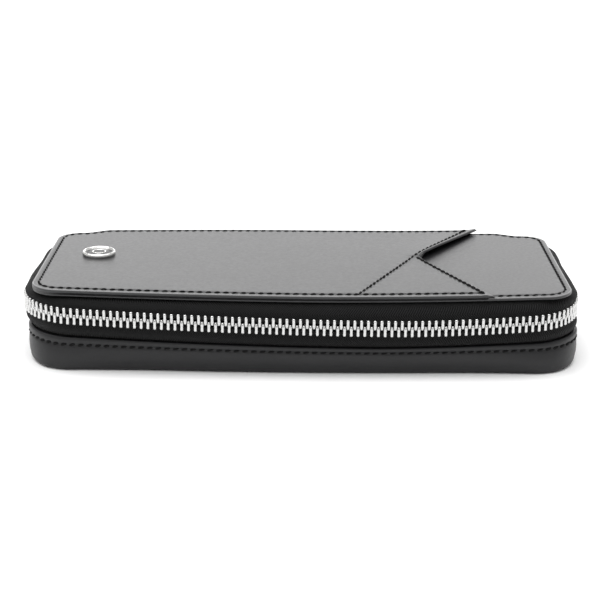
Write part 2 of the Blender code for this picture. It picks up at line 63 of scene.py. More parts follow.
# sizes shared by several pieces, in the frame of the CAD model
case = {
    **sized(rimHeight=9.0, zipLevel=16.3, lidUnder=23.4, lidTop=24.6, pocketTop=25.7, spineHalf=68.5,
            tapeEnd=69.2, rear=38.6),
    "tray": sized(half=87.4, front=-33.5, rear=38.6, bow=3.6, cornerFront=15.0, cornerRear=10.0),
    "zip": sized(half=88.3, front=-35.2, rear=37.6, bow=3.6, cornerFront=16.5, cornerRear=12.0),
    "lid": sized(half=84.6, front=-34.2, rear=35.1, bow=2.6, cornerFront=8.0, cornerRear=7.5),
}

# corners of the slip pocket, seen from above
pocket = {"mouthRear": (62.0 * mm, 38.6 * mm), "mouthApex": (39.8 * mm, 5.7 * mm),
          "mouthFront": (61.7 * mm, -40.0 * mm)}


def makeMesh(name, verts, quads, mat, uv=None, tris=None, soft=True):
    # puts whole arrays of points and quads into a new mesh object, in their relaxed shape if soft
    verts = settle(verts) if soft else np.asarray(verts)
    mesh = bpy.data.meshes.new(name)
    quads = np.asarray(quads, np.int32).reshape(-1, 4)
    tris = np.asarray([] if tris is None else tris, np.int32).reshape(-1, 3)
    loops = np.concatenate([quads.ravel(), tris.ravel()])
    starts = np.concatenate([np.arange(len(quads)) * 4, len(quads) * 4 + np.arange(len(tris)) * 3])
    mesh.vertices.add(len(verts))
    mesh.vertices.foreach_set("co", np.asarray(verts, np.float32).ravel())
    mesh.loops.add(len(loops))
    mesh.loops.foreach_set("vertex_index", loops)
    mesh.polygons.add(len(starts))
    mesh.polygons.foreach_set("loop_start", starts.astype(np.int32))
    mesh.update(calc_edges=True)
    if uv is not None:
        layer = mesh.uv_layers.new(name="clothMap")
        layer.data.foreach_set("uv", np.asarray(uv, np.float32).ravel())
    mesh.polygons.foreach_set("use_smooth", np.full(len(mesh.polygons), True))
    mesh.materials.append(mat)
    mesh.validate()
    obj = bpy.data.objects.new(name, mesh)
    room.collection.objects.link(obj)
    return obj


def gridQuads(rows, cols, wrapRows=False, wrapCols=False):
    # corner numbers of every cell of a rows x cols grid of points
    i = np.arange(rows if wrapRows else rows - 1)[:, None]
    j = np.arange(cols if wrapCols else cols - 1)[None, :]
    n = (i + 1) % rows
    k = (j + 1) % cols
    return np.stack([i * cols + j, i * cols + k, n * cols + k, n * cols + j], axis=-1).reshape(-1, 4)


def fanTris(first, count, centre, flip=False):
    # closes a ring of count points, starting at first, onto one centre point
    a = first + np.arange(count)
    b = first + (np.arange(count) + 1) % count
    c = np.full(count, centre)
    return np.stack([b, a, c] if flip else [a, b, c], axis=1)


def tubeQuads(rows, cols, caps, count=1):
    # quads of a tube of rows rings, closed by the same cap at both ends, repeated count times
    caps = np.array(caps)
    quads = np.vstack([gridQuads(rows, cols, wrapCols=True), caps[:, ::-1], caps + (rows - 1) * cols])
    return (quads[None] + np.arange(count)[:, None, None] * rows * cols).reshape(-1, 4)


def foldedCaps(cols):
    # cap of a ring whose second half runs back along its first
    return [[k, k + 1, cols - 2 - k, cols - 1 - k] for k in range(cols // 2 - 1)]


def facingOut(obj):
    # turns the faces of a closed mesh outwards
    work = bmesh.new()
    work.from_mesh(obj.data)
    bmesh.ops.remove_doubles(work, verts=work.verts, dist=0.0000005)
    bmesh.ops.recalc_face_normals(work, faces=work.faces)
    work.to_mesh(obj.data)
    work.free()
    return obj


def ringStack(name, rings, mat, closed=False, soft=True):
    # rings is rows x count x 3; joins the rows by quads, then closes the two end rings by fans
    # or, when closed, joins the last row to the first
    rows, count = rings.shape[:2]
    verts, tris = rings.reshape(-1, 3), None
    if not closed:
        tris = np.vstack([fanTris(0, count, len(verts)),
                          fanTris((rows - 1) * count, count, len(verts) + 1, flip=True)])
        verts = np.vstack([verts, rings[0].mean(axis=0), rings[-1].mean(axis=0)])
    quads = gridQuads(rows, count, wrapRows=closed, wrapCols=True)
    return facingOut(makeMesh(name, verts, quads, mat, tris=tris, soft=soft))


def paired(x, y):
    # two rows of numbers as points
    return np.stack([x, y], axis=1)


def unit(v):
    # limits a value to 0..1
    return np.clip(v, 0.0, 1.0)


def eased(t):
    # 0 to 1 with level ends
    return t * t * (3 - 2 * t)


def outline(spec, grow=0.0):
    # rounded rectangle, counter-clockwise from the middle of the rear edge; the front edge is
    # pushed out by bow * (1 - (x / half)^2) * weight^2, where weight falls from 1 at the front
    # edge to 0 half way back; every grow gives the same number of points
    half, front, rear = spec["half"] + grow, spec["front"] - grow, spec["rear"] + grow
    rFront, rRear = (max(spec[key] + grow, mm) for key in ("cornerFront", "cornerRear"))
    steps = {"rear": 30, "corner": 26, "side": 34, "front": 75}
    share = {key: np.linspace(0.0, 1.0, count, endpoint=False) for key, count in steps.items()}

    def corner(y, r, begin):
        a = np.radians(begin + 90.0 * share["corner"])
        return paired(-half + r + r * np.cos(a), y + r * np.sin(a))

    t = share["rear"]
    back = paired(-t * (half - rRear), np.full_like(t, rear))
    t = share["side"]
    side = paired(np.full_like(t, -half), rear - rRear + t * (front + rFront - rear + rRear))
    t = share["front"]
    fore = paired((-half + rFront) * (1.0 - t), np.full_like(t, front))
    left = np.vstack([back, corner(rear - rRear, rRear, 90.0), side, corner(front + rFront, rFront, 180.0),
                      fore, [[0.0, front]]])
    flat = np.vstack([left, left[1:-1][::-1] * np.array([-1.0, 1.0])])
    middle = 0.5 * (front + rear)
    weight = unit((middle - flat[:, 1]) / (middle - front)) ** 2
    flat[:, 1] -= spec["bow"] * (1.0 - (flat[:, 0] / half) ** 2) * weight
    return flat


def openOutline(spec, grow, end):
    # the same outline without its rear middle: from x = -end round the front to x = +end
    flat, rear = outline(spec, grow), spec["rear"] + grow
    keep = ~((np.abs(flat[:, 0]) < end) & (flat[:, 1] > rear - 0.01 * mm))
    return np.vstack([[-end, rear], flat[keep], [end, rear]])


# how far the soft shell stands above its straight level: at the left end, at its flattest
# place, at the right end, and where that flattest place is
relaxed = {"rim": (2.5 * mm, -0.15 * mm, 1.9 * mm, 24 * mm),
           "zip": (2.9 * mm, -0.2 * mm, 2.2 * mm, 33 * mm),
           "lid": (1.1 * mm, 0.2 * mm, 1.4 * mm, 5 * mm),
           "lidRear": (-0.5 * mm, 0.4 * mm, 1.2 * mm, 0.0),
           **sized(rightTuck=1.3, leftTuck=0.7, swell=0.9, footTuck=0.5, footSpread=2.2)}


def levelRise(key, x):
    # flat + (end - flat) t^1.5, where t runs from 0 at the flattest place to 1 at either end
    left, flat, right, at = relaxed[key]
    t = np.where(x < at, (at - x) / (88 * mm + at), (x - at) / (88 * mm - at))
    return flat + (np.where(x < at, left, right) - flat) * np.clip(t, 0.0, 1.05) ** 1.5


def settle(points):
    # soft leather stands higher at its ends than at its middle. The rise is worked out at the
    # rim, the zip and the lid, is straight between those levels, is nothing below the floor
    # lining, and fades out towards the spine. The foot is straighter than the rim, the right
    # side swells below the zip, and the zip tucks in at both ends
    points = np.array(points, float)
    x, y, z = points[:, 0], points[:, 1], points[:, 2]
    front = eased(unit((20 * mm - y) / (32 * mm)))
    back = unit((y + 34 * mm) / (70 * mm))
    lid = levelRise("lid", x) * (1 - back) + levelRise("lidRear", x) * back
    rim, chainLevel = levelRise("rim", x) * front, levelRise("zip", x) * front
    low = unit((z - 3.9 * mm) / (5.1 * mm))
    mid = unit((z - 9.0 * mm) / (4.5 * mm))
    high = unit((z - 19.0 * mm) / (4.0 * mm))
    rise = (rim * low) * (1 - mid) + (chainLevel * (1 - high) + lid * high) * mid
    foot = unit(1.0 - z / (9.0 * mm)) * unit(-y / (30 * mm)) ** 2
    ends = np.clip(np.abs(x) / (80 * mm) - 0.5, 0.0, 0.5) * 2
    points[:, 1] = y + foot * (relaxed["footTuck"] * (1 - ends ** 2) - relaxed["footSpread"] * ends ** 2)
    side = unit((np.abs(x) - 60 * mm) / (28 * mm)) ** 2
    right = side * (x > 0) * unit((20 * mm - y) / (11 * mm))
    left = side * (x < 0) * unit(-y / (12 * mm))
    upper = unit((z - 9.5 * mm) / (4 * mm))
    points[:, 0] = (x + relaxed["leftTuck"] * left * upper * (1 - high)
                    + right * (relaxed["swell"] * (1 - upper) - relaxed["rightTuck"] * upper * (1 - high)))
    points[:, 2] = z + rise
    return points


def pathLength(flat):
    # distance run at each point of a line
    return np.concatenate([[0.0], np.cumsum(np.linalg.norm(np.diff(flat, axis=0), axis=1))])


def resample(flat, count, ends=True):
    # the same line with count points evenly spaced along its length
    length = pathLength(flat)
    s = np.linspace(0.0, length[-1], count, endpoint=ends)
    return np.stack([np.interp(s, length, flat[:, k]) for k in range(flat.shape[1])], axis=1)


def walk(flat, s):
    # point, direction and outward side at each distance s along a line seen from above
    length = pathLength(flat)
    at = lambda d: paired(np.interp(d, length, flat[:, 0]), np.interp(d, length, flat[:, 1]))
    ahead = at(s + 0.4 * mm) - at(s - 0.4 * mm)
    ahead /= np.linalg.norm(ahead, axis=1)[:, None]
    return at(s), ahead, paired(ahead[:, 1], -ahead[:, 0])


def sideways(d):
    # unit vectors to the right of each direction
    return paired(d[:, 1], -d[:, 0]) / np.linalg.norm(d, axis=1)[:, None]


def inset(flat, d):
    # a closed line moved inwards by d, with mitred corners
    step = np.roll(flat, -1, axis=0) - flat
    after = paired(-step[:, 1], step[:, 0])
    after /= np.maximum(np.linalg.norm(step, axis=1), 1e-9)[:, None]
    before = np.roll(after, 1, axis=0)
    mitre = (before + after) / np.maximum(1.0 + (before * after).sum(axis=1), 0.35)[:, None]
    return flat + mitre * d


def evenLoop(flat, step):
    # closed line resampled to steps of about the given length, keeping its sharp corners
    closed = np.vstack([flat, flat[:1]])
    seg = np.diff(closed, axis=0)
    long = np.linalg.norm(seg, axis=1)
    counts = np.maximum(1, np.round(long / step).astype(int))
    return np.vstack([flat[k] + seg[k] * np.arange(counts[k])[:, None] / counts[k]
                      for k in range(len(flat)) if long[k] > 1e-7])


def newMaterial(name, **plain):
    # a new material with constants set on its shader
    mat = bpy.data.materials.new(name)
    mat.use_nodes = True
    shader = mat.node_tree.nodes["Principled BSDF"]
    for key, value in plain.items():
        shader.inputs[key.replace("_", " ")].default_value = value
    return mat, mat.node_tree, shader


def addNode(tree, kind, feeds=None, **values):
    # feeds joins sockets to this node's inputs; in_ gives an input its constant
    node = tree.nodes.new(kind)
    for key, value in values.items():
        if key.startswith("in_"):
            slot = key[3:].replace("_", " ")
            node.inputs[int(slot) if slot.isdigit() else slot].default_value = value
        else:
            setattr(node, key, value)
    for key, socket in (feeds or {}).items():
        tree.links.new(socket, node.inputs[key])
    return node


def mathNode(tree, operation, feeds, **values):
    return addNode(tree, "ShaderNodeMath", feeds, operation=operation, **values).outputs[0]


def rangeNode(tree, source, low, high, toLow, toHigh):
    return addNode(tree, "ShaderNodeMapRange", {0: source}, in_1=low, in_2=high, in_3=toLow,
                   in_4=toHigh).outputs[0]


def objectPlace(tree):
    return addNode(tree, "ShaderNodeTexCoord").outputs["Object"]


def objectNoise(tree, scale, detail, rough=0.5):
    return addNode(tree, "ShaderNodeTexNoise", {"Vector": objectPlace(tree)}, in_Scale=scale,
                   in_Detail=detail, in_Roughness=rough).outputs["Fac"]


def objectWave(tree, direction, scale, distortion, detail):
    return addNode(tree, "ShaderNodeTexWave", {"Vector": objectPlace(tree)}, bands_direction=direction,
                   in_Scale=scale, in_Distortion=distortion, in_Detail=detail).outputs["Fac"]


def ramp(tree, source, stops):
    node = addNode(tree, "ShaderNodeValToRGB", {"Fac": source})
    for element, (at, value) in zip(node.color_ramp.elements, stops):
        element.position = at
        element.color = (*value, 1.0)
    return node.outputs["Color"]


def dress(tree, shader, colour=None, height=None, strength=0.0, depth=0.0, rough=None):
    # joins a colour, a bump of some depth in metres, and a gloss to the shader
    if height is not None:
        height = addNode(tree, "ShaderNodeBump", {"Height": height}, in_Strength=strength,
                         in_Distance=depth).outputs["Normal"]
    for slot, socket in (("Base Color", colour), ("Normal", height), ("Roughness", rough)):
        if socket is not None:
            tree.links.new(socket, shader.inputs[slot])


def leatherMaterial(name, dark, light, rough, grainDepth, specular=0.5, highlightTone=None):
    # smooth calf leather: fine pores and creases as bump, faint patches in colour and gloss; with
    # an edge tone, the mesh's own per-point values paint a light highlight onto the rounded upper edge of a
    # cut
    mat, tree, shader = newMaterial(name, Specular_IOR_Level=specular)
    pores = addNode(tree, "ShaderNodeTexVoronoi", {"Vector": objectPlace(tree)}, feature="SMOOTH_F1",
                    in_Scale=2600.0, in_Randomness=1.0).outputs["Distance"]
    crease = objectNoise(tree, 900.0, 4.0, 0.6)
    mix = mathNode(tree, "MULTIPLY_ADD", {0: objectNoise(tree, 5200.0, 3.0, 0.55), 2: pores}, in_1=0.55)
    grain = mathNode(tree, "MULTIPLY_ADD", {0: crease, 2: mix}, in_1=1.1)
    tone = ramp(tree, objectNoise(tree, 55.0, 3.0), [(0.3, dark), (0.7, light)])
    if highlightTone is not None:
        paintedHighlight = addNode(tree, "ShaderNodeAttribute", attribute_name="paintedEdgeHighlight").outputs["Fac"]
        tone = addNode(tree, "ShaderNodeMixRGB", {0: paintedHighlight, 1: tone}, in_2=(*highlightTone, 1.0)).outputs[0]
    dress(tree, shader, tone, grain, grainDepth, 0.00006,
          rangeNode(tree, crease, 0.3, 0.7, rough - 0.03, rough + 0.04))
    return mat


def tapeMaterial(name, low, high):
    # herringbone twill: slanted ribs that turn back every band; u runs along the tape and
    # v across it, both in metres
    mat, tree, shader = newMaterial(name, Roughness=0.72, Specular_IOR_Level=0.12, Sheen_Weight=0.03,
                                    Sheen_Roughness=0.4)
    weave = {"band": 0.0023, "pitch": 0.00076, "thread": 0.00038}
    split = addNode(tree, "ShaderNodeSeparateXYZ",
                    {0: addNode(tree, "ShaderNodeUVMap", uv_map="clothMap").outputs["UV"]})
    along, across = split.outputs["X"], split.outputs["Y"]
    fold = mathNode(tree, "PINGPONG", {0: across}, in_1=weave["band"])
    slant = mathNode(tree, "ADD", {0: along, 1: fold})
    turn = mathNode(tree, "MULTIPLY", {0: slant}, in_1=2.0 * math.pi / weave["pitch"])
    ply = mathNode(tree, "MULTIPLY", {0: across}, in_1=2.0 * math.pi / weave["thread"])
    rib, thread = mathNode(tree, "SINE", {0: turn}), mathNode(tree, "SINE", {0: ply})
    height = mathNode(tree, "MULTIPLY_ADD", {0: thread, 2: rib}, in_1=0.3)
    level = rangeNode(tree, height, -1.3, 1.3, 0.0, 1.0)
    dress(tree, shader, ramp(tree, level, [(0.25, low), (0.85, high)]), level, 0.9, 0.00022)
    return mat


def metalMaterial(name, colour, rough, wear):
    # plated metal: soft smears in the gloss and hair-fine scratches
    mat, tree, shader = newMaterial(name, Base_Color=(*colour, 1.0), Metallic=1.0)
    stretch = addNode(tree, "ShaderNodeMapping", {"Vector": objectPlace(tree)}, in_Scale=(1.0, 1.0, 14.0))
    scratch = addNode(tree, "ShaderNodeTexNoise", {"Vector": stretch.outputs["Vector"]}, in_Scale=2500.0,
                      in_Detail=2.0).outputs["Fac"]
    smear = objectNoise(tree, 700.0, 4.0)
    dress(tree, shader, None, scratch, 0.15, 0.00002, rangeNode(tree, smear, 0.3, 0.75, rough, rough + wear))
    return mat


def suedeMaterial(name, low, high):
    # short nap: cloudy tone, fine fibres and a soft sheen
    mat, tree, shader = newMaterial(name, Roughness=0.9, Sheen_Weight=0.35, Sheen_Roughness=0.5)
    nap = objectNoise(tree, 4200.0, 4.0, 0.7)
    both = mathNode(tree, "MULTIPLY_ADD", {0: nap, 2: objectNoise(tree, 90.0, 4.0, 0.6)}, in_1=0.45)
    dress(tree, shader, ramp(tree, both, [(0.45, low), (0.95, high)]), nap, 0.7, 0.00015)
    return mat


def threadMaterial(name, low, high):
    # twisted waxed thread: slanted plies across each stitch
    mat, tree, shader = newMaterial(name, Roughness=0.7, Specular_IOR_Level=0.15)
    ply = objectWave(tree, "DIAGONAL", 1400.0, 1.5, 2.0)
    dress(tree, shader, ramp(tree, ply, [(0.2, low), (0.8, high)]), ply, 0.5, 0.00005)
    return mat


def boardMaterial(name, low, high):
    # grey-brown pressed fibre
    mat, tree, shader = newMaterial(name, Roughness=0.85)
    dress(tree, shader, ramp(tree, objectNoise(tree, 1500.0, 5.0, 0.7), [(0.3, low), (0.7, high)]))
    return mat


def enamelMaterial(name, low, high):
    # fired enamel: faint clouding under a smooth face
    mat, tree, shader = newMaterial(name, Roughness=0.30, Specular_IOR_Level=0.22)
    dress(tree, shader, ramp(tree, objectNoise(tree, 600.0, 3.0), [(0.35, low), (0.7, high)]))
    return mat


def elasticMaterial(name, low, high):
    # covered elastic: fine ribs along the strap, crossed by the knit
    mat, tree, shader = newMaterial(name, Roughness=0.75, Specular_IOR_Level=0.2)
    ribs = objectWave(tree, "X", 330.0, 0.6, 1.0)
    both = mathNode(tree, "MULTIPLY_ADD", {0: objectNoise(tree, 2600.0, 3.0), 2: ribs}, in_1=0.5)
    dress(tree, shader, ramp(tree, both, [(0.2, low), (1.1, high)]), both, 0.8, 0.00018)
    return mat


finish = {
    "enamel": enamelMaterial("darkEnamel", (0.012, 0.012, 0.013), (0.03, 0.03, 0.032)),
    "elastic": elasticMaterial("blackElastic", (0.004, 0.004, 0.004), (0.035, 0.035, 0.036)),
    # the lid leather's last colour is a painted highlight for the rounded tops of its edges
    "lid": leatherMaterial("blackLeatherLid", (0.009, 0.009, 0.010), (0.015, 0.015, 0.016), 0.34, 0.22,
                           0.55, (0.17, 0.17, 0.172)),
    "tray": leatherMaterial("blackLeatherTray", (0.008, 0.008, 0.009), (0.011, 0.011, 0.012), 0.42, 0.30,
                            0.38),
    "edge": leatherMaterial("edgePaint", (0.008, 0.008, 0.008), (0.012, 0.012, 0.012), 0.50, 0.15),
    "tape": tapeMaterial("twillTape", (0.0006, 0.0006, 0.0006), (0.014, 0.014, 0.0143)),
    "teeth": metalMaterial("nickelTeeth", (0.60, 0.60, 0.595), 0.20, 0.12),
    "metal": metalMaterial("polishedNickel", (0.86, 0.855, 0.84), 0.09, 0.08),
    "thread": threadMaterial("blackThread", (0.002, 0.002, 0.002), (0.009, 0.009, 0.009)),
    "suede": suedeMaterial("charcoalSuede", (0.020, 0.019, 0.019), (0.055, 0.052, 0.050)),
    "board": boardMaterial("fibreBoard", (0.22, 0.19, 0.15), (0.36, 0.32, 0.26)),
}
print("materials made")


trayLook = sized(draft=0.25, round=2.0, thick=1.3, belly=0.30, stitchDown=1.75, grooveDepth=0.28, lipOut=0.18)


def outlineRings(profile):
    # the rim outline once for each (outward, height) of a profile
    flats = [outline(case["tray"], grow) for grow in profile[:, 0]]
    return np.stack([np.column_stack([flat, np.full(len(flat), h)]) for flat, h in zip(flats, profile[:, 1])])


def trayShell():
    # a profile of (outward, height) carried round the rim outline: floor, rounded foot, wall
    # with a slight belly, stitched groove, soft lip, and back down the inside
    look = trayLook
    rim, groove = case["rimHeight"], case["rimHeight"] - look["stitchDown"]
    a = np.radians(np.linspace(0.0, 90.0, 12))
    foot = paired(-look["draft"] - look["round"] * (1 - np.sin(a)), look["round"] * (1 - np.cos(a)))
    t = np.linspace(0.0, 1.0, 22)[1:]
    z = look["round"] + t * (rim - 0.55 * mm - look["round"])
    above = 1.0 / (1.0 + np.exp(-(z - (groove + 0.25 * mm)) / (0.12 * mm)))
    belly = look["belly"] * np.sin(np.pi * unit(t * 1.25)) * (1 - above)
    dent = look["grooveDepth"] * np.exp(-((z - groove) / (0.30 * mm)) ** 2)
    wall = paired(-look["draft"] * (1 - t) ** 1.2 + belly - dent + look["lipOut"] * above, z)
    fine = rim - np.array([0.30, 0.10, 0.0, 0.0, 0.12, 0.5]) * mm
    lip = paired(np.array([0.12, -0.02, -0.30, -0.95, -1.22, -1.30]) * mm, fine)
    t = np.linspace(0.0, 1.0, 8)[1:]
    inner = paired(-look["thick"] - look["draft"] * t, rim - 0.5 * mm - t * (rim - 0.5 * mm - look["round"]))
    a = np.radians(np.linspace(90.0, 0.0, 8))[1:]
    r = look["round"] - look["thick"]
    base = paired(-look["thick"] - look["draft"] - r * (1 - np.sin(a)), look["thick"] + r * (1 - np.cos(a)))
    under = np.array([[-20.0 * mm, 0.0], [-9.0 * mm, 0.0]])
    profile = np.vstack([under, foot, wall, lip, inner, base, under[::-1] + [0.0, look["thick"]]])
    return ringStack("trayLeather", outlineRings(profile), finish["tray"])


shell = trayShell()
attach(shell, "tray")
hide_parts("tray_shell")
print("tray made")


def trayLining():
    # the same walk for the suede pan, thinner and with a rolled top edge
    outside, bend, low = 2.5 * mm, 2.0 * mm, 3.1 * mm
    top, thick, lean = 8.6 * mm, 0.8 * mm, 1.2 * mm
    a = np.radians(np.linspace(0.0, 90.0, 7))
    foot = paired(-outside - lean - bend * (1 - np.sin(a)), low + bend * (1 - np.cos(a)))
    roll = np.array([[0.0, -0.25], [-0.15, 0.0], [-0.4, 0.08], [-0.65, 0.0], [-thick / mm, -0.25]]) * mm
    roll += [-outside, top]
    a = np.radians(np.linspace(90.0, 0.0, 7))
    r = bend - thick
    inner = paired(-outside - thick - lean - r * (1 - np.sin(a)), low + thick + r * (1 - np.cos(a)))
    ends = np.array([[-20.0 * mm, low], [-9.0 * mm, low]])
    profile = np.vstack([ends, foot, roll, inner, ends[::-1] + [0.0, thick]])
    return ringStack("trayLining", outlineRings(profile), finish["suede"])


lining = trayLining()
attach(lining, "tray")
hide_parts("tray_liner")


def smoothProfile(points, count):
    # a soft curve through (outline share, outward, height) points, evenly spaced by number
    t, fine = np.linspace(0.0, 1.0, len(points)), np.linspace(0.0, 1.0, count)
    kernel = np.array([1.0, 2.0, 3.0, 2.0, 1.0]) / 9.0
    cols = []
    for column in np.asarray(points, float).T:
        rough = np.interp(fine, t, column)
        soft = np.convolve(np.pad(rough, 2, mode="edge"), kernel, mode="valid")
        soft[0], soft[-1] = rough[0], rough[-1]
        cols.append(soft)
    return np.stack(cols, axis=1)


def tapeBand(name, base, profile, thick):
    # base is the outline at the sewn edge; each profile row is (share towards the zip path,
    # outward, height); the band is closed to a thin solid and mapped in metres
    steps = 520
    sewn = resample(openOutline(base, 0.0, case["tapeEnd"]), steps)
    meet = resample(openOutline(case["zip"], 0.0, case["tapeEnd"]), steps)
    rows = smoothProfile(profile, 26)
    line = pathLength(meet)
    toZip = rows[None, :, 0, None]
    middle = sewn[:, None, :] * (1 - toZip) + meet[:, None, :] * toZip
    middle = middle + sideways(np.gradient(meet, axis=0))[:, None, :] * rows[None, :, 1, None]
    rise = np.broadcast_to(rows[None, :, 2], middle.shape[:2])
    sheet = np.concatenate([middle, rise[..., None]], axis=2)
    normal = np.cross(np.gradient(sheet, axis=0), np.gradient(sheet, axis=1))
    normal /= np.maximum(np.linalg.norm(normal, axis=2), 1e-12)[..., None]
    inner = sheet - normal * thick / 2
    loop = np.concatenate([sheet + normal * thick / 2, inner[:, ::-1]], axis=1)
    cols = loop.shape[1]
    quads = tubeQuads(steps, cols, foldedCaps(cols))
    width = pathLength(sheet[0])
    v = np.concatenate([width, width[::-1]])
    uvGrid = np.stack(np.broadcast_arrays(line[:, None], v[None, :]), axis=-1).reshape(-1, 2)
    return makeMesh(name, loop.reshape(-1, 3), quads, finish["tape"], uv=uvGrid[quads.ravel()])


def sewnOutline(spec, sewnIn, cornerFront, cornerRear):
    # the outline that a tape is sewn along, inside the edge of its leather
    return {**spec, "half": spec["half"] - sewnIn, "front": spec["front"] + sewnIn,
            "rear": spec["rear"] - sewnIn, "cornerFront": cornerFront, "cornerRear": cornerRear}


tapeLook = {"thick": 0.6 * mm,
            "lower": [(0.0, 0.0, 6.0), (0.0, 0.0, 8.0), (0.06, 0.0, 9.0), (0.62, 0.15, 10.6),
                      (1.0, 0.1, 12.0), (1.0, 0.0, 13.4), (1.0, 0.0, 14.6)],
            "upper": [(1.0, 0.0, 18.0), (1.0, 0.0, 19.4), (1.0, 0.1, 20.4), (0.80, 0.3, 21.8),
                      (0.45, 0.0, 22.75), (0.2, 0.0, 22.8), (0.0, 0.0, 22.8)]}
lowerTape = tapeBand("lowerZipTape", sewnOutline(case["tray"], 1.9 * mm, 13.1 * mm, 8.1 * mm),
                     np.array(tapeLook["lower"]) * [1.0, mm, mm], tapeLook["thick"])
upperTape = tapeBand("upperZipTape", sewnOutline(case["lid"], 3.0 * mm, 5.0 * mm, 4.5 * mm),
                     np.array(tapeLook["upper"]) * [1.0, mm, mm], tapeLook["thick"])
for tape, body, node in ((lowerTape, "tray", "lower_zip_tape"), (upperTape, "lid", "upper_zip_tape")):
    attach(tape, body)
    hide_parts(node)
print("tapes made")


chain = sized(pitch=2.09, end=76.2, cord=0.72, cordAt=1.75)
# one tooth, as (height past the meeting line, half width, half thickness) from its tip to its foot
toothShape = np.array([[-0.62, 0.26, 0.55], [-0.52, 0.38, 0.80], [-0.28, 0.47, 0.98], [0.05, 0.52, 1.05],
                       [0.38, 0.56, 1.08], [0.62, 0.60, 1.08], [0.90, 0.55, 1.02], [1.30, 0.53, 1.02],
                       [2.20, 0.57, 1.16], [2.50, 0.54, 1.10], [2.66, 0.38, 0.80]]) * mm


def toothRow(name, up, mat):
    # a stack of rounded squares (cos^0.6, sin^0.6) repeated at every pitch along the zip path
    path = openOutline(case["zip"], 0.0, case["tapeEnd"])
    total = pathLength(path)[-1]
    start = chain["end"] - case["tapeEnd"]
    count = int((total - 2.0 * start) / chain["pitch"])
    first = 0.5 * (total - count * chain["pitch"])
    centres = first + (np.arange(count) + 0.5 + 0.25 * up) * chain["pitch"]
    spots, ahead, out = walk(path, centres)
    a = np.radians(np.arange(8) * 45.0 + 22.5)
    cs = np.sign(np.cos(a)) * np.abs(np.cos(a)) ** 0.6
    sn = np.sign(np.sin(a)) * np.abs(np.sin(a)) ** 0.6
    s = toothShape[:, 1, None] * cs
    o = toothShape[:, 2, None] * sn
    h = np.broadcast_to(toothShape[:, 0, None], s.shape)
    xy = (spots[:, None, None, :] + ahead[:, None, None, :] * s[None, ..., None]
          + out[:, None, None, :] * o[None, ..., None])
    z = np.broadcast_to(case["zipLevel"] + up * h[None], xy.shape[:3])
    verts = np.concatenate([xy, z[..., None]], axis=3)
    quads = tubeQuads(*s.shape, [[0, 1, 2, 3], [0, 3, 4, 7], [4, 5, 6, 7]], count)
    return facingOut(makeMesh(name, verts.reshape(-1, 3), quads, mat))


def cordRun(name, up, mat):
    # a braided cord along the tape edge that the teeth are clamped on
    path = openOutline(case["zip"], 0.0, case["tapeEnd"])
    spots = resample(path, 420)
    out = sideways(np.gradient(spots, axis=0))
    a = np.radians(np.arange(10) * 36.0)
    r = chain["cord"]
    xy = spots[:, None, :] + out[:, None, :] * (r * np.cos(a))[None, :, None]
    z = case["zipLevel"] + up * chain["cordAt"] + np.broadcast_to(r * np.sin(a), xy.shape[:2])
    return ringStack(name, np.concatenate([xy, z[..., None]], axis=2), mat)


for up, body, word in ((-1, "tray", "lower"), (1, "lid", "upper")):
    teeth = toothRow(word + "ZipTeeth", up, finish["teeth"])
    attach(teeth, body)
    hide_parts(word + "_zip_teeth")
    cord = cordRun(word + "ZipCord", up, finish["thread"])
    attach(cord, body)
print("teeth made")


sheetLook = {"stitchIn": 2.0 * mm, "edgeRound": 0.32 * mm,
             "steps": (0.04, 0.11, 0.20, 0.32, 0.6, 0.95, 1.3, 1.6, 1.8, 2.0, 2.2, 2.4, 2.8, 3.4, 4.2, 5.2)}


def lidLine(grow=0.0):
    # the lid outline with the flap that runs back over the spine, eased at both its ends
    flat = outline(case["lid"], grow)
    back = case["rear"] + grow
    near, far = 67.0 * mm, 76.5 * mm
    kept = flat[~((flat[:, 1] > case["lid"]["rear"] + grow - 0.01 * mm) & (np.abs(flat[:, 0]) < far))]
    start = int(np.argmax(np.linalg.norm(kept - np.roll(kept, 1, axis=0), axis=1)))
    kept = np.roll(kept, -start, axis=0)
    t = np.linspace(0.0, 1.0, 13)
    leftRun = paired(-near - (far - near) * t, back - (back - case["lid"]["rear"] - grow) * eased(t))
    rightRun = leftRun[::-1] * np.array([-1.0, 1.0])
    return np.vstack([kept, rightRun, leftRun])


def edgeDistance(points, flat):
    # shortest distance from each point to a closed line, and whether the point is inside it
    a, b = flat, np.roll(flat, -1, axis=0)
    ab = b - a
    best = np.full(len(points), 1.0)
    crossings = np.zeros(len(points), int)
    for block in np.array_split(np.arange(len(points)), max(1, len(points) // 600)):
        p = points[block][:, None, :]
        t = unit(((p - a) * ab).sum(-1) / np.maximum((ab * ab).sum(-1), 1e-14))
        near = a + ab * t[..., None]
        best[block] = np.sqrt(((p - near) ** 2).sum(-1).min(axis=1))
        spans = (a[:, 1] > p[..., 1]) != (b[:, 1] > p[..., 1])
        at = a[:, 0] + (p[..., 1] - a[:, 1]) * ab[:, 0] / np.where(spans, ab[:, 1], 1.0)
        crossings[block] = (spans & (p[..., 0] < at)).sum(axis=1)
    return best, crossings % 2 == 1


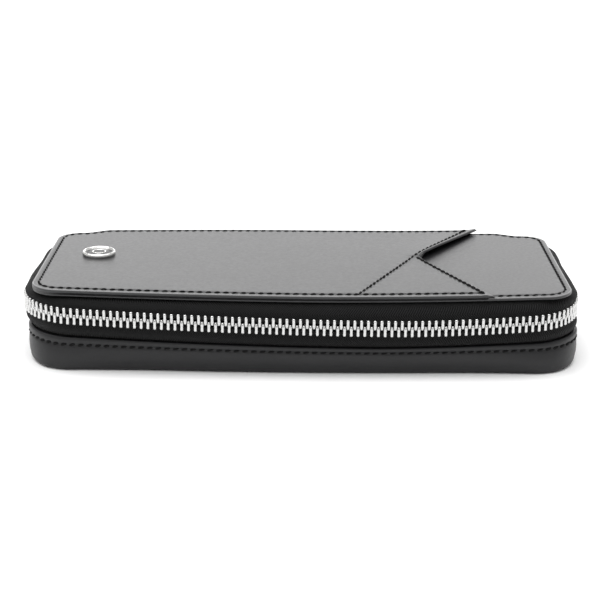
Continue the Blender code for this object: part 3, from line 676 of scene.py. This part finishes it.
def softSheet(name, line, underOf, topOf, mat, cell=2.2 * mm, soft=True, paintedHighlightAt=None):
    # a closed sheet over a flat outline: points lie on lines that follow the edge inwards and
    # on a square grid between them; topOf gives their height from place and distance in, and
    # the edge itself is a quarter round, r (1 - sqrt(1 - (1 - d / r)^2)), above and below
    flat = evenLoop(line, 0.9 * mm)
    after = np.roll(flat, -1, axis=0)
    if (flat[:, 0] * after[:, 1] - after[:, 0] * flat[:, 1]).sum() < 0:
        flat = flat[::-1]
    side = -sideways(np.roll(flat, -1, axis=0) - np.roll(flat, 1, axis=0))
    groups = []
    for k, d in enumerate(np.array(sheetLook["steps"]) * mm):
        at = flat + side * d
        if k > 5:
            at = at[:: 2 if k < 13 else 3]
        far, within = edgeDistance(at, flat)
        groups.append(at[within & (far > d - 0.015 * mm)])
    low, high = flat.min(axis=0), flat.max(axis=0)
    gx, gy = np.meshgrid(np.arange(low[0], high[0], cell), np.arange(low[1], high[1], cell))
    lattice = paired(gx.ravel(), gy.ravel())
    far, within = edgeDistance(lattice, flat)
    groups.append(lattice[within & (far > sheetLook["steps"][-1] * mm + 0.5 * cell)])
    inner = np.vstack(groups)
    both = np.vstack([flat, inner])
    done = delaunay_2d_cdt([Vector(p) for p in both.tolist()], [], [list(range(len(flat)))], 1, 1e-7)
    xy = np.array([tuple(p) for p in done[0]])
    tris = np.array(done[2], np.int32)
    far, _ = edgeDistance(xy, flat)
    far[far < 0.004 * mm] = 0.0
    r = sheetLook["edgeRound"]
    roundOff = r * (1.0 - np.sqrt(unit(1.0 - (1.0 - unit(far / r)) ** 2)))
    top = topOf(xy, far) - roundOff
    bottom = np.minimum(underOf(xy, far) + roundOff * 0.8, top - 0.02 * mm)
    count = len(xy)
    edge = np.arange(len(flat))
    verts = np.vstack([np.column_stack([xy, top]), np.column_stack([xy, bottom])])
    nextEdge = np.roll(edge, -1)
    walls = np.stack([edge, edge + count, nextEdge + count, nextEdge], axis=1)
    allTris = np.vstack([tris, tris[:, ::-1] + count])
    obj = makeMesh(name, verts, walls, mat, tris=allTris, soft=soft)
    if paintedHighlightAt is not None:
        # painted highlight: nothing on the cut itself, full on its upper rounding, nothing again 0.6 mm in
        share = np.interp(far / mm, [0.0, 0.05, 0.34, 0.6], [0.0, 1.0, 1.0, 0.0]) * paintedHighlightAt(xy)
        values = obj.data.attributes.new("paintedEdgeHighlight", "FLOAT", "POINT")
        values.data.foreach_set("value", np.concatenate([share, np.zeros(count)]).astype(np.float32))
    return facingOut(obj)


def bandDrop(far, band, slope, groove, reach=1.7 * mm):
    # the stitched band falls towards the edge and the stitches lie in a shallow groove
    fall = slope * (1.0 - unit((far - 0.2 * mm) / (band + reach - 0.2 * mm))) ** 1.5
    return fall + groove * np.exp(-((far - band) / (0.30 * mm)) ** 2)


def lidTop(xy, far):
    # nearly flat leather with very faint hollows
    x, y = xy[:, 0] / mm, xy[:, 1] / mm
    hollow = mm * (0.05 * np.sin(x * 0.045 + 0.6) * np.cos(y * 0.06) - 0.03)
    return case["lidTop"] + hollow - bandDrop(far, sheetLook["stitchIn"], 0.12 * mm, 0.22 * mm)


def levelOf(height):
    # a flat surface at one height
    return lambda xy, far: np.full(len(xy), height)


# the lid leather gets a painted highlight along all of its edges
lidLeather = softSheet("lidLeather", lidLine(), levelOf(case["lidUnder"]), lidTop, finish["lid"],
                       paintedHighlightAt=lambda xy: np.ones(len(xy)))
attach(lidLeather, "lid")
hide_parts("lid_panel")


def lineDistance(xy, a, b):
    # share of the way from a to b, and distance to the left of that line
    a, b = np.array(a), np.array(b)
    long = np.linalg.norm(b - a)
    d = (b - a) / long
    rel = xy - a
    return rel @ d / long, rel[:, 1] * d[0] - rel[:, 0] * d[1]


mouthLook = sized(lift=0.55, reach=8.0, lip=1.45, lipReach=1.7, roll=0.60, rollWide=1.1, band=2.4,
                  bandFall=0.72)
seamLine = np.array([(17.4, -34.6), (37.4, 6.3), (57.6, 37.4)]) * mm
hemLine = np.array([(38.0, 4.9), (54.4, -30.6), (56.2, -34.6)]) * mm


def openLineDistance(xy, line):
    # shortest distance to a short open line
    best = np.full(len(xy), 1.0)
    for a, b in zip(line[:-1], line[1:]):
        t = unit(((xy - a) @ (b - a)) / ((b - a) @ (b - a)))
        best = np.minimum(best, np.linalg.norm(xy - a - t[:, None] * (b - a), axis=1))
    return best


def mouthLift(xy):
    # a broad rise, lift s(t) exp(-(away / reach)^1.5), where s grows slowly along the upper arm,
    # plus a lip, lip q(t) exp(-(away / lipReach)^2), where q is full soon after the corner; both
    # fall evenly towards the rear edge
    t, away = lineDistance(xy, pocket["mouthApex"], pocket["mouthRear"])
    slow = eased(unit((t + 0.25) / 0.6))
    quick = eased(unit((t + 0.03) / 0.10))
    away = np.maximum(away, 0.0)
    fade = 1.0 - 0.7 * unit(t)
    broad = mouthLook["lift"] * slow * np.exp(-(away / mouthLook["reach"]) ** 1.5)
    return fade * (broad + mouthLook["lip"] * quick * np.exp(-(away / mouthLook["lipReach"]) ** 2))


def onMouth(xy, reach):
    # 1 at either arm of the mouth, falling to 0 over reach
    arms = np.array([pocket["mouthRear"], pocket["mouthApex"], pocket["mouthFront"]])
    return unit(1.0 - openLineDistance(xy, arms) / reach)


def pocketTop(xy, far):
    # leather drawn flat over the lid: it falls to the stitched edges, stands up and rolls over
    # at the upper arm of the mouth, slopes down along the front arm, and the seams lie in grooves
    x, y = xy[:, 0] / mm, xy[:, 1] / mm
    wave = mm * 0.05 * np.sin(x * 0.05) * np.cos(y * 0.07 + 0.4)
    edge = onMouth(xy, 3.5 * mm) <= 0.0
    drop = bandDrop(far, sheetLook["stitchIn"], 0.10 * mm, 0.22 * mm) * edge
    seams = 0.20 * mm * np.exp(-(openLineDistance(xy, seamLine) / (0.36 * mm)) ** 2)
    seams += 0.18 * mm * np.exp(-(openLineDistance(xy, hemLine) / (0.36 * mm)) ** 2)
    share, inward = lineDistance(xy, pocket["mouthFront"], pocket["mouthApex"])
    band = mouthLook["bandFall"] * unit(1.0 - inward / mouthLook["band"]) * (share < 1.0)
    roll = mouthLook["roll"] * onMouth(xy, mouthLook["rollWide"]) ** 2
    return case["pocketTop"] + wave + mouthLift(xy) - drop - seams - roll * (share >= 1.0) - band


def pocketUnder(xy, far):
    # rests on the lid, laps down over its edge, and lifts with the mouth
    lap = unit(1.0 - far / (0.25 * mm)) * (onMouth(xy, 2.0 * mm) <= 0.0)
    return case["lidTop"] + 0.04 * mm + mouthLift(xy) - 0.9 * mm * lap


def leftOfMouth(line, rearBy=0.0, frontBy=0.0):
    # distance left of the upper arm behind the corner, and of the lower arm in front of it
    apex = pocket["mouthApex"]
    return np.where(line[:, 1] > apex[1], lineDistance(line, apex, pocket["mouthRear"])[1] - rearBy,
                    lineDistance(line, pocket["mouthFront"], apex)[1] - frontBy)


def runOf(line, mask):
    # the stretch of a closed line where mask holds, in order
    start = int(np.argmax(mask & ~np.roll(mask, 1)))
    return np.roll(line, -start, axis=0)[np.roll(mask, -start)]


def pocketOutline():
    # the lid outline left of both arms of the mouth, closed through the corner where they meet
    line = evenLoop(lidLine(0.10 * mm), 0.3 * mm)
    run = runOf(line, leftOfMouth(line) > 0)
    run = resample(run, int(pathLength(run)[-1] / (0.85 * mm)))
    return np.vstack([run, [pocket["mouthApex"]]])


pocketLine = pocketOutline()
# the pocket leather gets a painted highlight along its edges, but not at the mouth
pocketLeather = softSheet("pocketLeather", pocketLine, pocketUnder, pocketTop, finish["lid"], 1.6 * mm,
                          paintedHighlightAt=lambda xy: 1.0 * (onMouth(xy, 1.2 * mm) <= 0.0))
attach(pocketLeather, "lid")
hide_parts("pocket_panel", "pocket_wedge")
print("lid made")


stitchLook = {**sized(pitch=2.7, thread=0.27, slant=0.20, lift=0.13, dip=0.30), "share": 0.80}


def stitchRow(name, spots, ahead, up, body, look=stitchLook):
    # for u from -1 to 1 and a round the thread:
    # spot + ahead u L / 2 + side slant u + up (lift (1 - u^2) - dip u^4)
    #   + thread sqrt(1 - 0.9 u^6) (side cos a + up sin a)
    side = np.cross(up, ahead)
    u = np.linspace(-1.0, 1.0, 8)[None, :, None, None]
    a = np.radians(np.arange(6) * 60.0)[None, None, :, None]
    ahead, side, up = (v[:, None, None, :] for v in (ahead, side, up))
    r = look["thread"] * np.sqrt(1.0 - 0.9 * u ** 6)
    verts = (spots[:, None, None, :] + ahead * u * look["pitch"] * look["share"] / 2
             + side * look["slant"] * u + up * (look["lift"] * (1 - u ** 2) - look["dip"] * u ** 4)
             + r * (side * np.cos(a) + up * np.sin(a)))
    count, rows, cols = verts.shape[:3]
    quads = tubeQuads(rows, cols, [[0, 1, 2, 3], [0, 3, 4, 5]], count)
    obj = facingOut(makeMesh(name, verts.reshape(-1, 3), quads, finish["thread"]))
    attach(obj, body)


topThread = {**stitchLook, "thread": 0.30 * mm, "slant": 0.24 * mm, "lift": 0.22 * mm, "share": 0.84}
seamThread = {**topThread, "thread": 0.40 * mm, "share": 0.94, "slant": 0.16 * mm}


def topStitches(name, line, topOf, sheetLine, look=topThread):
    # evenly pitched stitches on the top of a sheet of the lid, along a line seen from above
    border = evenLoop(sheetLine, 0.9 * mm)
    heightOf = lambda at: topOf(at, edgeDistance(at, border)[0])
    total = pathLength(line)[-1]
    count = int(round(total / stitchLook["pitch"]))
    s = (np.arange(count) + 0.5) * total / count
    spots, ahead, _ = walk(line, s)
    height = heightOf(spots)
    probe, _, _ = walk(line, np.clip(s + 0.5 * mm, 0, total))
    forward = np.column_stack([ahead, (heightOf(probe) - height) / (0.5 * mm)])
    forward /= np.linalg.norm(forward, axis=1)[:, None]
    up = np.array([0.0, 0.0, 1.0]) - forward * forward[:, 2:3]
    up /= np.linalg.norm(up, axis=1)[:, None]
    stitchRow(name, np.column_stack([spots, height]), forward, up, "lid", look)


lidStitchLine = inset(evenLoop(lidLine(), 1.0 * mm), sheetLook["stitchIn"])
onPocket = leftOfMouth(lidStitchLine, 2.0 * mm, 1.4 * mm) > 0
onLid = leftOfMouth(lidStitchLine, -0.4 * mm, -0.8 * mm) < 0
topStitches("lidEdgeStitches", runOf(lidStitchLine, onLid), lidTop, lidLine())
topStitches("pocketEdgeStitches", runOf(lidStitchLine, onPocket), pocketTop, pocketLine)
topStitches("pocketSeamStitches", resample(seamLine, 120), pocketTop, pocketLine, seamThread)
topStitches("pocketHemStitches", resample(hemLine, 80), pocketTop, pocketLine, seamThread)


def rimStitches():
    # stitches round the tray just below the rim, up pointing out of the wall
    line = openOutline(case["tray"], -0.12 * mm, case["spineHalf"])
    total = pathLength(line)[-1]
    count = int(round(total / stitchLook["pitch"]))
    spots, ahead, out = walk(line, (np.arange(count) + 0.5) * total / count)
    level, zero = np.full(count, case["rimHeight"] - trayLook["stitchDown"]), np.zeros(count)
    stitchRow("rimStitches", np.column_stack([spots, level]), np.column_stack([ahead, zero]),
              np.column_stack([out, zero]), "tray")


rimStitches()
print("stitches made")


emblemLook = {"at": (-67.7 * mm, 5.9 * mm), "base": 25.75 * mm,
              "rimFoot": [(5.15, -0.15), (5.42, 0.0), (5.5, 0.25)], "rimInside": [(4.56, 0.85), (4.56, 0.1)],
              "face": [(4.54, 0.05), (4.54, 0.70), (4.4, 0.78), (3.2, 0.90), (1.6, 0.98), (0.3, 1.0)],
              "ring": (2.1, 1.0), "wire": (0.20, 0.14)}


def turned(name, profile, mat, closed=False):
    # a profile of (radius, height) in millimetres turned about the upright axis of the emblem
    a = np.linspace(0.0, 2 * np.pi, 72, endpoint=False)
    x0, y0 = emblemLook["at"]
    r, h = np.asarray(profile, float).T * mm
    rise = settle(np.array([[x0, y0, emblemLook["base"]]]))[0, 2]
    rings = np.stack([x0 + r[:, None] * np.cos(a), y0 + r[:, None] * np.sin(a),
                      np.broadcast_to(rise + h[:, None], (len(r), len(a)))], axis=2)
    return ringStack(name, rings, mat, closed=closed, soft=False)


t = np.linspace(0.0, 1.0, 12)
dome = paired(5.5 - 0.90 * t, 0.62 + 0.78 * np.sin(np.pi * (0.12 + 0.80 * t)) ** 0.8)
bezel = turned("emblemBezel", np.vstack([emblemLook["rimFoot"], dome, emblemLook["rimInside"]]),
               finish["metal"], closed=True)
face = turned("emblemFace", emblemLook["face"], finish["enamel"])
a = np.radians(np.arange(12) * 30.0)[:, None]
wire = np.hstack([np.cos(a), np.sin(a)]) * emblemLook["wire"]
inlay = turned("emblemRing", emblemLook["ring"] + wire, finish["metal"], closed=True)
for piece, node in ((bezel, "emblem_bezel"), (face, "emblem_disc")):
    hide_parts(node)
for piece, name in ((bezel, "polished_nickel"), (face, "dark_enamel"), (inlay, "polished_nickel")):
    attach(piece, "lid")
print("emblem made")


def slab(name, low, high, radius, mat):
    # a flat bar along x with a rounded section; its end rings shrink as sqrt(1 - (1 - s)^2)
    low, high = np.array(low), np.array(high)
    long = high[0] - low[0]
    a = np.radians(np.arange(24) * 15.0 + 7.5)
    corner = paired(np.cos(a), np.sin(a))
    section = np.sign(corner) * np.maximum((high[1:] - low[1:]) / 2 - radius, 0.0) + corner * radius
    section = resample(np.vstack([section, section[:1]]), 60, ends=False)
    end = np.linspace(0.0, 1.0, 6) * radius
    s = np.concatenate([end, np.linspace(radius, long - radius, 64)[1:-1], long - end[::-1]])
    near = np.minimum(s, long - s) / radius
    shrink = radius * (1.0 - np.sqrt(unit(1.0 - (1.0 - unit(near)) ** 2)))
    trim = np.minimum(shrink[:, None, None], np.abs(section)[None] * 0.98)
    yz = section[None] - np.sign(section)[None] * trim + (low[1:] + high[1:]) / 2
    x = np.broadcast_to((low[0] + s)[:, None, None], yz.shape[:2] + (1,))
    return ringStack(name, np.concatenate([x, yz], axis=2), mat, soft=False)


# low and high are the heights where the rear cover starts and ends, split where its two strips meet
spineLook = sized(inner=38.5, outer=39.15, low=7.3, split=16.2, high=24.2, stitchLow=8.15, stitchHigh=23.75)


def spineStrip(name, bottom, top):
    # the rear cover as a sheet of (across, up) with rounded ends, finely stepped in height
    look = spineLook
    half = case["spineHalf"] + 0.2 * mm
    z = np.linspace(bottom, top, int((top - bottom) / (0.25 * mm)))
    z = np.sort(np.concatenate([z, [bottom + 0.01 * mm, top - 0.01 * mm]]))
    end = np.array([0.0, 0.12 * mm, 0.5 * mm])
    x = np.concatenate([-half + end, np.linspace(-half + 2 * mm, half - 2 * mm, 40), half - end[::-1]])
    pinch = np.full(len(z), 0.0)
    if bottom < 10 * mm:
        pinch = 0.30 * mm * unit(1 - (z - bottom) / (0.5 * mm)) ** 2
    if top > 20 * mm:
        pinch = 0.30 * mm * unit(1 - (top - z) / (0.5 * mm)) ** 2
    endPinch = 0.22 * mm * unit(1 - (half - np.abs(x)) / (0.5 * mm)) ** 2
    across, up = np.meshgrid(x, z, indexing="ij")
    drop = np.maximum(pinch[None, :], endPinch[:, None])
    outer = np.stack([across, look["outer"] - drop, up], axis=2)
    inner = np.stack([across, np.full_like(across, look["inner"]), up], axis=2)
    loop = np.concatenate([outer, inner[:, ::-1]], axis=1)
    rows, cols = loop.shape[:2]
    quads = tubeQuads(rows, cols, foldedCaps(cols))
    obj = facingOut(makeMesh(name, loop.reshape(-1, 3), quads, finish["tray"]))
    return obj


lowStrip = spineStrip("spineLeatherLower", spineLook["low"], spineLook["split"])
highStrip = spineStrip("spineLeatherUpper", spineLook["split"], spineLook["high"])
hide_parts("spine_leather")
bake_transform(lowStrip)
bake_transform(highStrip)
for word, key, body in (("Lower", "stitchLow", "tray"), ("Upper", "stitchHigh", "lid")):
    count = int(2 * (case["spineHalf"] - 1.6 * mm) / stitchLook["pitch"])
    x = (np.arange(count) - (count - 1) / 2) * stitchLook["pitch"]
    depth, level = spineLook["outer"] - 0.05 * mm, spineLook[key]
    spots = np.column_stack([x, np.full(count, depth), np.full(count, level)])
    stitchRow("spineStitches" + word, spots, np.tile([1.0, 0.0, 0.0], (count, 1)),
              np.tile([0.0, 1.0, 0.0], (count, 1)), body)
low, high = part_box("spine_liner")
spineLining = slab("spineLining", low, high, 0.38 * mm, finish["suede"])
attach(spineLining, "spine")
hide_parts("spine_liner")
print("spine made")


low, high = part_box("lid_liner")
liningLine = outline(case["lid"], high[0] - case["lid"]["half"])
lidLining = softSheet("lidLining", liningLine, levelOf(low[2]), levelOf(high[2]), finish["suede"], 3.0 * mm,
                      soft=False)
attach(lidLining, "lid")
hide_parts("lid_liner")


strapLook = sized(wide=15.0, thick=0.9, foot=3.5, pitch=20.7, middle=1.2, reach=7.95, rise=13.25, low=4.65)


def penStrap(name, x):
    # one elastic strap over three pens: y = middle + k pitch + reach cos a,
    # z = low + rise sin^0.75 a, with flat sewn runs between, given a flat rounded section
    look = strapLook
    angle = np.radians(np.linspace(180.0, 0.0, 33))
    end = look["pitch"] + look["reach"] + look["foot"] - look["thick"] / 2
    line = [[look["middle"] - end, look["low"]]]
    for pen in (-1, 0, 1):
        y = look["middle"] + pen * look["pitch"] + look["reach"] * np.cos(angle)
        z = look["low"] + look["rise"] * unit(np.sin(angle)) ** 0.75
        line += paired(y, z).tolist()
    line.append([look["middle"] + end, look["low"]])
    line = resample(np.array(line), 190)
    line[1:-1] = 0.25 * line[:-2] + 0.5 * line[1:-1] + 0.25 * line[2:]
    n = -sideways(np.gradient(line, axis=0))
    a = np.radians(np.arange(20) * 18.0 + 9.0)
    across = np.sign(np.cos(a)) * (look["wide"] / 2 - look["thick"] / 2) + look["thick"] / 2 * np.cos(a)
    out = look["thick"] / 2 * np.sin(a)
    yz = line[:, None, :] + n[:, None, :] * out[None, :, None]
    rings = np.concatenate([np.broadcast_to((x + across)[None, :, None], yz.shape[:2] + (1,)), yz], axis=2)
    return ringStack(name, rings, finish["elastic"], soft=False)


for side, word in ((-1, "left"), (1, "right")):
    low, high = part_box("pen_loops_" + word)
    middle = 0.5 * (low[0] + high[0])
    strap = penStrap("penLoops" + word.capitalize(), middle)
    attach(strap, "tray")
    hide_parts("pen_loops_" + word)
    rowsAt = [strapLook["middle"] + k * strapLook["pitch"] for k in (-1.5, -0.5, 0.5, 1.5)]
    rowsAt[0], rowsAt[-1] = rowsAt[0] + 0.2 * mm, rowsAt[-1] - 0.2 * mm
    x, y = np.meshgrid(middle + (np.arange(5) - 2) * stitchLook["pitch"], rowsAt)
    sewn = np.full(x.size, strapLook["low"] + strapLook["thick"] / 2)
    spots = np.column_stack([x.ravel(), y.ravel(), sewn])
    stitchRow("penLoopStitches" + word.capitalize(), spots, np.tile([1.0, 0.0, 0.0], (len(spots), 1)),
              np.tile([0.0, 0.0, 1.0], (len(spots), 1)), "tray")
print("inside made")


def paint(nodes, mat):
    # gives CAD nodes that stay as they are one material
    for name in nodes:
        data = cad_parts[name].data
        data.materials.clear()
        data.materials.append(mat)


paint(["slider_body", "slider_bridge", "pull_link", "pull_tab", "emblem_rivet", "emblem_washer",
       "stop_lower_left", "stop_lower_right", "stop_upper_left", "stop_upper_right"], finish["metal"])
paint(["base_board", "lid_board"], finish["board"])
# its inked edge shows between leather and lining
paint(["spine_board"], finish["edge"])


reach = 6.0
floorMesh = bpy.data.meshes.new("studioFloor")
floorMesh.from_pydata([(-reach, -reach, 0), (reach, -reach, 0), (reach, reach, 0), (-reach, reach, 0)], [],
                      [(0, 1, 2, 3)])
floor = bpy.data.objects.new("studioFloor", floorMesh)
floor.data.materials.append(newMaterial("paleFloor", Base_Color=(0.93, 0.93, 0.93, 1.0), Roughness=0.9)[0])
room.collection.objects.link(floor)

room.view_settings.view_transform = "Standard"
world = bpy.data.worlds.new("studioWorld")
room.world = world
world.use_nodes = True
sky = world.node_tree.nodes["Background"]
sky.inputs["Color"].default_value = (1.0, 1.0, 1.0, 1.0)
sky.inputs["Strength"].default_value = 0.62


def addLight(name, spot, aim, size, power):
    data = bpy.data.lights.new(name, "AREA")
    data.shape = "RECTANGLE"
    data.size, data.size_y = size
    data.energy = power
    obj = bpy.data.objects.new(name, data)
    obj.location = spot
    obj.rotation_euler = (Vector(aim) - Vector(spot)).to_track_quat("-Z", "Y").to_euler()
    room.collection.objects.link(obj)


addLight("rearPanel", (0.0, 1.3, 0.55), (0.0, 0.0, 0.05), (1.5, 0.9), 6.0)
addLight("topSoftbox", (-0.3, -0.2, 1.2), (0.0, 0.0, 0.0), (1.6, 1.6), 13.0)
addLight("floorWash", (0.0, 0.1, 1.6), (0.0, -0.05, 0.0), (2.6, 0.9), 15.0)

# angles in degrees; the lens is given for a sensor 36 mm wide
view = {"aim": (-0.606 * mm, -2.1 * mm, 13.2 * mm), "distance": 514.08 * mm, "elevation": 18.1,
        "yaw": -0.232, "roll": 0.597, "lens": 93.09}


def addCamera():
    data = bpy.data.cameras.new("caseCamera")
    data.sensor_width = 36.0
    data.lens = view["lens"]
    data.clip_start = 0.01
    e, yaw = math.radians(view["elevation"]), math.radians(view["yaw"])
    back = Vector((math.sin(yaw) * math.cos(e), -math.cos(yaw) * math.cos(e), math.sin(e)))
    obj = bpy.data.objects.new("caseCamera", data)
    turn = (-back).to_track_quat("-Z", "Y").to_matrix().to_4x4()
    roll = Matrix.Rotation(math.radians(view["roll"]), 4, "Z")
    obj.matrix_world = Matrix.Translation(Vector(view["aim"]) + back * view["distance"]) @ turn @ roll
    room.collection.objects.link(obj)
    room.camera = obj


addCamera()
print("room made")
